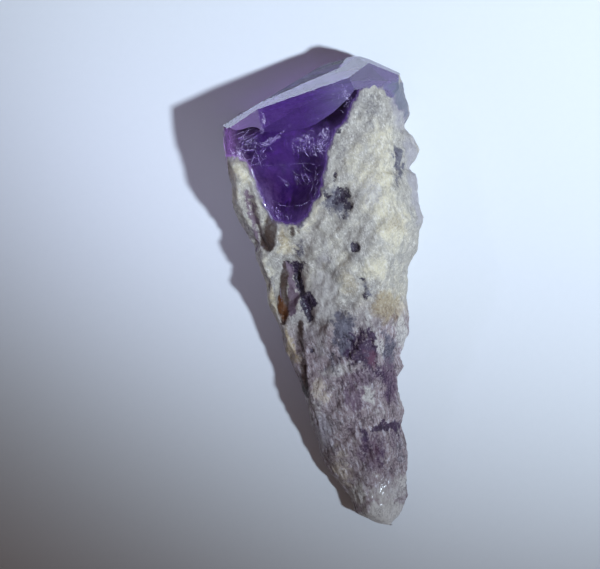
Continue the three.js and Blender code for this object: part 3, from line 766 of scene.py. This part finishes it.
def stonePaint(c, g, toneNames):
    # crust and bare crystal in one material, told apart by the stone's fields
    paint = Paint(bpy.data.materials.new("amethyst_and_crust"))
    place = paint.node("TexCoord", output="Object")
    x, y = (paint.node("SeparateXYZ", None, {"Vector": place}, output=axis) for axis in (0, 1))
    tones = {name: paint.field(name) for name in toneNames}
    depth, polish, haze = (paint.field(name) for name in ("depth", "polish", "haze"))
    broad, other, middle, fine, streak, fibre, thread, bands, wave = (
        paint.noise(place, *values) for values in c["noises"].values())
    grains = paint.node("TexVoronoi", None, {"Vector": place, "Scale": 1 / (c["grainSize"] * mm)})

    # crust: a grey or mauve ground under cream, patches, coats and dark grains
    root = paint.between((broad - 0.5) * 0.006 - y, *c["rootFrom"])
    ground = paint.mix(root, c["grey"], c["mauve"])
    uneven = (broad - 0.5) * 1.5 + (middle - 0.5) * 1.6 - root * 0.2
    creamShare = paint.between(tones["cream"] * 0.9 + uneven, -0.1, 1.15)
    colour = paint.mix(creamShare, ground, paint.mix(root, c["cream"], c["beige"]))
    colour = paint.mix(paint.between(other, *c["patches"]), colour, c["slate"])
    colour = paint.mix(paint.between(middle, *c["paleSpots"]) * (0.5 - root * 0.25), colour, c["pale"])
    pale = paint.between(paint.mix(root, fibre, thread), *c["paleFibres"])
    cluster = paint.between(streak, *c["clusters"])
    colour = paint.mix(pale * (1.2 - cluster * 0.6), colour, paint.mix(root, c["pale"], c["ash"]))
    for name, (coat, low, high, streaky, patchy, grainy, most) in c["coats"].items():
        uneven = (streak - 0.5) * streaky + (middle - 0.5) * patchy + (fine - 0.5) * grainy + 0.9
        colour = paint.mix(paint.between(tones[name] * uneven, low, high, most), colour, coat)
    dark = paint.between(fine + (middle - 0.5) * 0.5 - (broad - 0.5) * 0.5, *c["darkGrains"])
    calm = 1 - tones["glossy"] * 0.55
    colour = paint.mix(dark * (0.36 + root * 0.34) * calm, colour, c["dim"], "MULTIPLY")
    lines = (1 - paint.between(thread, *c["darkLines"])) * (0.3 + root * 0.6) * calm * (0.35 + cluster * 0.8)
    colour = paint.mix(lines, colour, c["dim"], "MULTIPLY")
    rim = paint.between(depth + (middle - 0.5) * 0.3, -0.3, 0.05)
    colour = paint.mix(rim * 0.45, colour, c["rim"])
    hollow = paint.mix(paint.between(fibre, *c["hollowFibres"]), c["pit"], c["rim"])
    sunk = paint.between(tones["pits"] * ((fine - 0.5) * 2.2 + (fibre - 0.5) * 1.8 + 0.95), 0.3, 0.75)
    colour = paint.mix(sunk * 0.95, colour, hollow)

    # bare crystal: inside the window's outline, and on cut faces inside the polished outline
    cut = paint.node("Math", {"operation": "MAXIMUM"}, {0: paint.field("polishDepth"), 1: depth})
    bare = polish * cut + (1 - polish) * depth
    milky = paint.between(tones["milky"] + (middle - 0.5) * 0.8, 0.2, 0.9)
    ragged = (streak - 0.5) * 1.6 + (fine - 0.5) * 1.2
    crusted = paint.between(ragged - bare * 4, -0.4, 0.4) * (1 - milky * 0.85)
    frost = paint.between(tones["frost"] * 0.8 + (fibre - 0.5) * 2.4 + (fine - 0.5) * 1.2, 0.35, 1.0)
    corner = (1 - paint.between(x, *g["cornerFrom"])) * polish
    clouded = haze * (0.55 + bands * 0.9) * (1 + corner * 1.5 + paint.between(x, *g["brightFrom"]) * 0.15)
    # the window's far left end, veiled and given part of the painted glow
    farLeft = 1 - paint.between(x + (broad - 0.5) * 0.003, *g["farLeftFrom"])
    edge = 1 - paint.between(depth, 0.02, 0.16)
    rimGlow = (1 - paint.between(depth, 0.0, 0.45)) * broad * 0.14 + edge * 0.5
    scattered = tones["violet"] * (broad * 0.2 + 0.03) + farLeft * (0.1 + fibre * 0.8)
    inner = (rimGlow + scattered) * (1 - polish)
    hazed = paint.node("Clamp", None, {"Value": clouded + inner + frost * 0.5 + milky * (0.7 + broad * 0.3)})
    strayedX = x + (broad - 0.5) * 0.004
    end = (1 - paint.between(strayedX, *g["magentaFrom"])) * (1 - polish * 0.8)
    veil = paint.mix(edge, g["violet"], g["edge"])
    for share, tone in ((polish, paint.mix(paint.between(strayedX, *g["hazeFrom"]), g["deep"], g["haze"])),
                        (corner, g["lilac"]), (end, g["magenta"]), (frost, g["frost"]), (milky, g["milk"])):
        veil = paint.mix(share, veil, tone)
    colour = paint.mix(crusted, veil, colour)

    rough = (fine * 0.5 + grains * 0.4 + middle * 0.5 + fibre * 0.4) * crusted
    height = rough * (1 - tones["glossy"] * 0.75)
    bump = paint.node("Bump", None, {"Strength": 0.9, "Distance": c["bump"], "Height": height})
    wet = tones["glossy"] + tones["brown"] * 0.2 + tones["pits"] * 0.3
    roughness = paint.node("Clamp", None, {
        "Value": c["roughness"] - wet * 0.45 + (fine - 0.5) * 0.3, "Min": c["leastRoughness"]})
    # painted glow: an emission on the left side face and the window's far left end, standing in for light
    # led through the crystal to its left side
    paintedGlow = haze * (1 - paint.between(x, *g["paintedGlowFrom"])) + farLeft * (1 - crusted) * fibre * 0.4
    rock = paint.node("BsdfPrincipled", None, {
        "Base Color": colour, "Roughness": roughness, "IOR": c["ior"], "Normal": bump,
        "Emission Color": paint.mix(paintedGlow, (0.0, 0.0, 0.0), g["paintedGlow"]), "Emission Strength": 1.0})
    ripple = paint.node("Bump", None, {
        "Strength": 0.5, "Distance": g["ripple"], "Height": wave * (1 - polish)})
    most = g["windowRoughness"] + g["rimRoughness"]
    dull = (1 - polish) * (most - paint.between(depth, 0.0, 0.14, g["rimRoughness"]))
    gem = paint.node("BsdfPrincipled", None, {
        "Base Color": g["tint"], "Roughness": g["polishedRoughness"] + dull, "IOR": g["ior"],
        "Transmission Weight": 1.0, "Normal": ripple})
    letThrough = paint.node("BsdfTransparent", None, {"Color": g["letThrough"]})
    shadow = paint.node("LightPath", output="Is Shadow Ray")
    gem = paint.node("MixShader", None, {0: shadow, 1: gem, 2: letThrough})

    covered = crusted + hazed * (1 - crusted)
    surface = paint.node("MixShader", None, {0: covered, 1: gem, 2: rock})
    volume = paint.node("VolumeAbsorption", None, {"Color": g["absorbed"], "Density": g["density"]})
    return paint.finish(surface, volume)


def addPiece(name, mesh, material, replaced=None):
    piece = bpy.data.objects.new(name, mesh)
    bpy.context.scene.collection.objects.link(piece)
    mesh.materials.append(material)
    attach(piece, "root")
    if replaced:
        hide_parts(replaced)


stoneBody = stoneMesh(stone)
paintFields(stoneBody, stone)
addPiece("amethyst_stone", stoneBody, stonePaint(crust, crystal, stone["tones"]), "amethyst_point")
print("stone built:", len(stoneBody.polygons), "faces")

# milky quartz inside the root, seen through the window as its floor and walls
core = {
    "columns": [10, 12, 14, 14, 14, 14, 12, 12, 10, 6, 6],
    "rings": 190,
    "firstRing": 37,
    "lastRing": -38,
    "inset": 2.5,
    "bowl": (6.5, 9.5),   # how far it dips under the window's lower end and under the crown
    "crownFrom": (22, 34),   # y between the two
    "openFrom": (30, 36),   # y from which it dips whatever the window's outline
    "floor": 1.2,   # lowest height
    "slope": 0.45,   # lean of the end that faces the crown
    "leanFrom": 8,   # height that stays in place
    "ripple": 0.5,
    "milk": (0.40, 0.34, 0.44),
    "deep": (0.14, 0.09, 0.20),
    "roughness": 0.7,
}


def coreMesh(c, s):
    # the stone's rings drawn inwards, pushed down into a bowl under the window, rippled by clouds,
    # then closed by a fan round the middle of each end ring
    points = stoneRings(dict(s, columns=c["columns"], rings=c["rings"], firstRing=c["firstRing"]))
    points = points[points[:, 0, 1] > c["lastRing"]]
    nx, nz = ringNormals(points, 1)
    points[..., 0] -= c["inset"] * nx
    points[..., 2] -= c["inset"] * nz
    x, y, z = np.moveaxis(points, -1, 0)
    inside = insideOutline(x, y, s["window"])
    crown = ease(*c["crownFrom"], y)
    deep = c["bowl"][0] + (c["bowl"][1] - c["bowl"][0]) * crown
    reach = np.maximum(ease(-0.5, 5.5, inside + layers(points, 4.0, 2)), ease(*c["openFrom"], y))
    z = np.maximum(z - deep * reach * ease(0.0, 0.6, nz), c["floor"])
    y = y + (c["leanFrom"] - z) * c["slope"] * crown
    points = np.stack([x, y, z], -1)
    points[..., 2] += c["ripple"] * layers(points, 3.2) * ease(0.0, 0.5, nz) * ease(1.0, 3.0, z)

    index, right, quads = tubeFaces(points.shape[:2])
    first = np.full(index.shape[1], index.size)
    caps = np.vstack([np.stack([first, index[0], right[0]], -1),
                      np.stack([index[-1], first + 1, right[-1]], -1)])
    ends = [points[0].mean(axis=0), points[-1].mean(axis=0)]
    corners = (np.vstack([points.reshape(-1, 3), ends]) + s["shift"]) * mm
    return closeMesh(*openMesh("milky_root", corners, quads + caps.tolist(), True))


def corePaint(c):
    paint = Paint(bpy.data.materials.new("milky_quartz"))
    place = paint.node("TexCoord", output="Object")
    broad = paint.noise(place, 4.0, 4, 0.6)
    fine = paint.noise(place, 0.9, 4, 0.6)
    tone = paint.mix(paint.between(broad * 0.7 + fine * 0.3, 0.35, 0.68), c["deep"], c["milk"])
    bump = paint.node("Bump", None, {"Strength": 0.6, "Distance": 0.0003, "Height": fine})
    return paint.finish(paint.node("BsdfPrincipled", None, {
        "Base Color": tone, "Roughness": c["roughness"], "Normal": bump}))


addPiece("milky_root", coreMesh(core, stone), corePaint(core))
print("milky root built")

# slender healed cracks just under the window
wisps = {
    # how many, middle, spread, direction and its spread in degrees, length, half width
    "groups": [
        (34, (-3.4, 29.4), (3.2, 1.2), 95, 40, 1.7, 0.07), (24, (-0.2, 30.2), (1.6, 1.6), 80, 50, 1.4, 0.09),
        (20, (0.2, 28.4), (0.9, 1.6), 60, 60, 0.9, 0.1), (30, (-13.6, 31.8), (2.2, 2.2), 25, 30, 2.2, 0.06),
        (20, (-11.6, 29.6), (1.6, 1.6), 60, 70, 1.2, 0.06),
        (13, (-7.2, 23.3), (2.6, 0.8), 118, 16, 2.1, 0.05),
        (7, (-3.9, 24), (0.6, 0.8), 122, 8, 2.4, 0.05), (14, (-10.4, 18.2), (1, 1.2), 60, 60, 0.6, 0.09),
        (12, (5.8, 36.4), (1, 1.6), 100, 40, 1.1, 0.08), (10, (-9.9, 35.2), (0.5, 1.4), 85, 40, 0.9, 0.07),
        (10, (-15.8, 29.6), (1, 1.2), 70, 50, 1, 0.08), (12, (-2.2, 22.4), (0.5, 2.4), 75, 20, 1.6, 0.05),
    ],
    # longer ones: bent line, half width
    "lines": [
        ([(-14, 27.6), (-10.4, 26.9), (-6.6, 26.4)], 0.04),
        ([(-7.4, 26.6), (-3.6, 26.3), (-0.3, 25.3)], 0.045),
        ([(-14.1, 27), (-13.2, 28.8), (-12.5, 30.2)], 0.09),
        ([(-12.5, 30.2), (-12.3, 28.4), (-11.9, 26.6)], 0.09),
        ([(-13.8, 27.4), (-12.6, 27.6), (-11.2, 28.2)], 0.08),
        ([(-11.4, 20.8), (-9.6, 19.3), (-7.8, 18.7)], 0.05),
        ([(-8, 18.8), (-5.6, 18.6), (-3.4, 19.4)], 0.05),
        ([(-10.2, 37.2), (-9.9, 35.6), (-10.4, 33.6)], 0.12),
        ([(-11.3, 30.9), (-8.8, 31.8), (-6.2, 33.1)], 0.3),
        ([(-11, 30.8), (-9.4, 31.2), (-7.6, 32)], 0.3),
        ([(-17, 33.2), (-14.6, 33.8), (-12.2, 34.2)], 0.07),
        ([(-16, 31.4), (-13.4, 32.2), (-10.8, 33.2)], 0.07),
        ([(-13.3, 24), (-12.9, 21.4), (-12, 19.2)], 0.1),
        ([(7, 36.4), (7.6, 37.2), (8.4, 37)], 0.06),
    ],
    "points": 9,
    "depth": (0.2, 1.1),   # under the surface, at a wisp's ends
    "above": 60,   # height from which the surface is looked for
    "thickness": 0.015,
    "colour": (0.80, 0.72, 0.92),
    "roughness": 0.35,
    "alpha": 0.45,
    "seed": 5,
}


def wispSpines(w):
    # seeded middles, turns and lengths; each spine bends aside by the square of its share
    random = np.random.default_rng(w["seed"])
    share = np.linspace(-0.5, 0.5, w["points"])
    spines = []
    widths = []
    for count, middle, spread, turn, turnSpread, length, half in w["groups"]:
        angle = np.radians(turn + turnSpread * random.normal(size=(count, 1)))
        reach = length * random.uniform(0.5, 1.5, (count, 1)) * share
        aside = length * random.normal(size=(count, 1)) * 0.6 * share ** 2
        centre = np.array(middle) + np.array(spread) * random.normal(size=(count, 2)) * 0.6
        x = centre[:, :1] + reach * np.cos(angle) - aside * np.sin(angle)
        y = centre[:, 1:] + reach * np.sin(angle) + aside * np.cos(angle)
        spines.append(np.stack([x, y], -1))
        widths.append(half * random.uniform(0.5, 1.4, count))
    for line, half in w["lines"]:
        at = np.linspace(0, len(line) - 1, w["points"])
        jitter = half * random.normal(size=(w["points"], 2)) * 0.5
        bent = np.stack([np.interp(at, range(len(line)), axis) for axis in zip(*line)], -1)
        spines.append((bent + jitter)[None])
        widths.append(np.array([half]))
    return np.concatenate(spines), np.concatenate(widths)


def wispMesh(w, s, body):
    # flat tubes of four corners round each spine point, as wide as a sine of the share along it
    flat = np.empty(len(body.vertices) * 3, np.float32)
    body.vertices.foreach_get("co", flat)
    corners = flat.reshape(-1, 3) / mm - s["shift"]
    surface = BVHTree.FromPolygons(corners.tolist(), [face.vertices[:] for face in body.polygons])
    spines, widths = wispSpines(w)
    down = Vector((0, 0, -1))
    hits = [surface.ray_cast(Vector((x, y, w["above"])), down)[0] for x, y in spines.reshape(-1, 2)]
    top = np.array([hit.z if hit else np.nan for hit in hits]).reshape(spines.shape[:2])
    kept = ~np.isnan(top).any(axis=1)   # those that lie under the surface all the way
    spines = spines[kept]
    z = top[kept] - np.linspace(*w["depth"], w["points"])
    step = np.gradient(spines, axis=1)
    step /= np.maximum(np.linalg.norm(step, axis=-1, keepdims=True), tiny)
    half = widths[kept, None] * np.sin(np.linspace(0.08, 0.92, w["points"]) * math.pi)
    side = np.stack([-step[..., 1] * half, step[..., 0] * half, np.zeros(half.shape)], -1)
    up = np.array([0, 0, w["thickness"]])
    spine = np.concatenate([spines, z[..., None]], -1)
    points = np.stack([spine - side, spine + up, spine + side, spine - up], 2)
    index, _, quads = tubeFaces(points.shape[:3])
    ends = np.vstack([index[:, 0], index[:, -1]])
    corners = (points.reshape(-1, 3) + s["shift"]) * mm
    return closeMesh(*openMesh("inner_wisps", corners, quads + ends.tolist(), False))


def wispPaint(w):
    paint = Paint(bpy.data.materials.new("healed_crack"))
    place = paint.node("TexCoord", output="Object")
    share = paint.between(paint.noise(place, 0.5, 3, 0.6), 0.3, 0.6, w["alpha"])
    return paint.finish(paint.node("BsdfPrincipled", None, {
        "Base Color": w["colour"], "Roughness": w["roughness"], "Alpha": share}))


addPiece("inner_wisps", wispMesh(wisps, stone, stoneBody), wispPaint(wisps))
print("inner wisps built")

floor = {
    "size": 3000,
    "drop": 0.02,   # under the stone's flat patch
    "colour": (0.8, 0.8, 0.81),
    "mottle": 0.97,   # what its darker fibres keep of the colour
    "roughness": 0.7,
}


def buildFloor(f):
    # a flat square under the stone
    half = f["size"] * mm / 2
    z = -f["drop"] * mm
    mesh = bpy.data.meshes.new("floor")
    mesh.from_pydata([(-half, -half, z), (half, -half, z), (half, half, z), (-half, half, z)], [],
                     [(0, 1, 2, 3)])
    paint = Paint(bpy.data.materials.new("pale_paper"))
    place = paint.node("TexCoord", output="Object")
    fibre = paint.noise(place, 1.4, 5, 0.6)
    bump = paint.node("Bump", None, {"Strength": 0.25, "Distance": 0.00005, "Height": fibre})
    tone = paint.mix(fibre, tuple(part * f["mottle"] for part in f["colour"]), f["colour"])
    mesh.materials.append(paint.finish(paint.node("BsdfPrincipled", None, {
        "Base Color": tone, "Roughness": f["roughness"], "Normal": bump})))
    piece = bpy.data.objects.new("floor", mesh)
    bpy.context.scene.collection.objects.link(piece)


buildFloor(floor)
print("floor laid")

view = {
    "place": (-8.34, 3.9, 400),
    "turn": -9.2,   # degrees about z, looking straight down
    "lens": 121.68,
    "sensor": 36.0,
    "clip": (0.01, 20.0),   # metres
    "bounces": 16,
}
# spots have a cone, the others are flat rectangles; unseen names the rays that miss a lamp
lamps = {
    "key": {"place": (332.8, -199.2, 699.2), "aim": (72, 97, 0), "cone": 29.4, "radius": 27,
            "power": 32.0, "colour": (0.822, 0.985, 1.182), "unseen": ["transmission"]},
    "side": {"place": (-496, 360, 514.4), "aim": (-31, 28, 0), "cone": 6.4, "radius": 25,
             "power": 6.0, "colour": (0.80, 0.86, 1.35), "unseen": ["transmission"]},
    "fill": {"place": (390.4, 455.2, 530.4), "aim": (0, 0, 0), "size": (380, 200),
             "power": 0.6, "colour": (0.9, 0.98, 1.2), "unseen": ["camera", "diffuse"]},
    "card": {"place": (-20, 520, 62), "aim": (-20, 0, 62), "size": (420, 120),
             "power": 1.0, "colour": (0.85, 0.95, 1.25), "unseen": ["camera", "diffuse", "transmission"]},
}
world = {"strength": 0.08, "colour": (1.15, 0.92, 0.85), "seen": (0.55, 0.6, 0.72)}


def lookAt(target, place):
    # the turn that points an object's -z from its place to the target
    step = [t - p for t, p in zip(target, place)]
    flat = math.hypot(step[0], step[1])
    return (math.atan2(flat, -step[2]), 0.0, math.atan2(-step[0], step[1]) if flat > tiny else 0.0)


def addLamp(name, k):
    lamp = bpy.data.lights.new(name, "SPOT" if "cone" in k else "AREA")
    lamp.energy = k["power"]
    lamp.color = k["colour"]
    if "cone" in k:
        lamp.shadow_soft_size = k["radius"] * mm
        lamp.spot_size = math.radians(k["cone"])
        lamp.spot_blend = 1.0
    else:
        lamp.shape = "RECTANGLE"
        lamp.size, lamp.size_y = (side * mm for side in k["size"])
    piece = bpy.data.objects.new(name, lamp)
    piece.location = [p * mm for p in k["place"]]
    piece.rotation_euler = lookAt(k["aim"], k["place"])
    bpy.context.scene.collection.objects.link(piece)
    for ray in k["unseen"]:
        setattr(piece, "visible_" + ray, False)


def addCamera(v):
    camera = bpy.data.cameras.new("camera")
    camera.lens = v["lens"]
    camera.sensor_width = v["sensor"]
    camera.clip_start, camera.clip_end = v["clip"]
    eye = bpy.data.objects.new("camera", camera)
    eye.location = [p * mm for p in v["place"]]
    eye.rotation_euler = (0.0, 0.0, math.radians(v["turn"]))
    bpy.context.scene.collection.objects.link(eye)
    bpy.context.scene.camera = eye


def lightWorld(w):
    # a faint even light, and a plain backdrop where the camera looks past the floor
    bpy.context.scene.world = bpy.data.worlds.new("studio")
    paint = Paint(bpy.context.scene.world)
    soft = paint.node("Background", None, {"Color": w["colour"], "Strength": w["strength"]})
    seen = paint.node("Background", None, {"Color": w["seen"]})
    byCamera = paint.node("LightPath", output="Is Camera Ray")
    paint.finish(paint.node("MixShader", None, {0: byCamera, 1: soft, 2: seen}), kind="OutputWorld")


addCamera(view)
for name, settings in lamps.items():
    addLamp(name, settings)
lightWorld(world)
bpy.context.scene.view_settings.view_transform = "Standard"
bpy.context.scene.cycles.max_bounces = view["bounces"]
bpy.context.scene.cycles.transparent_max_bounces = view["bounces"]
print("camera and lights placed")
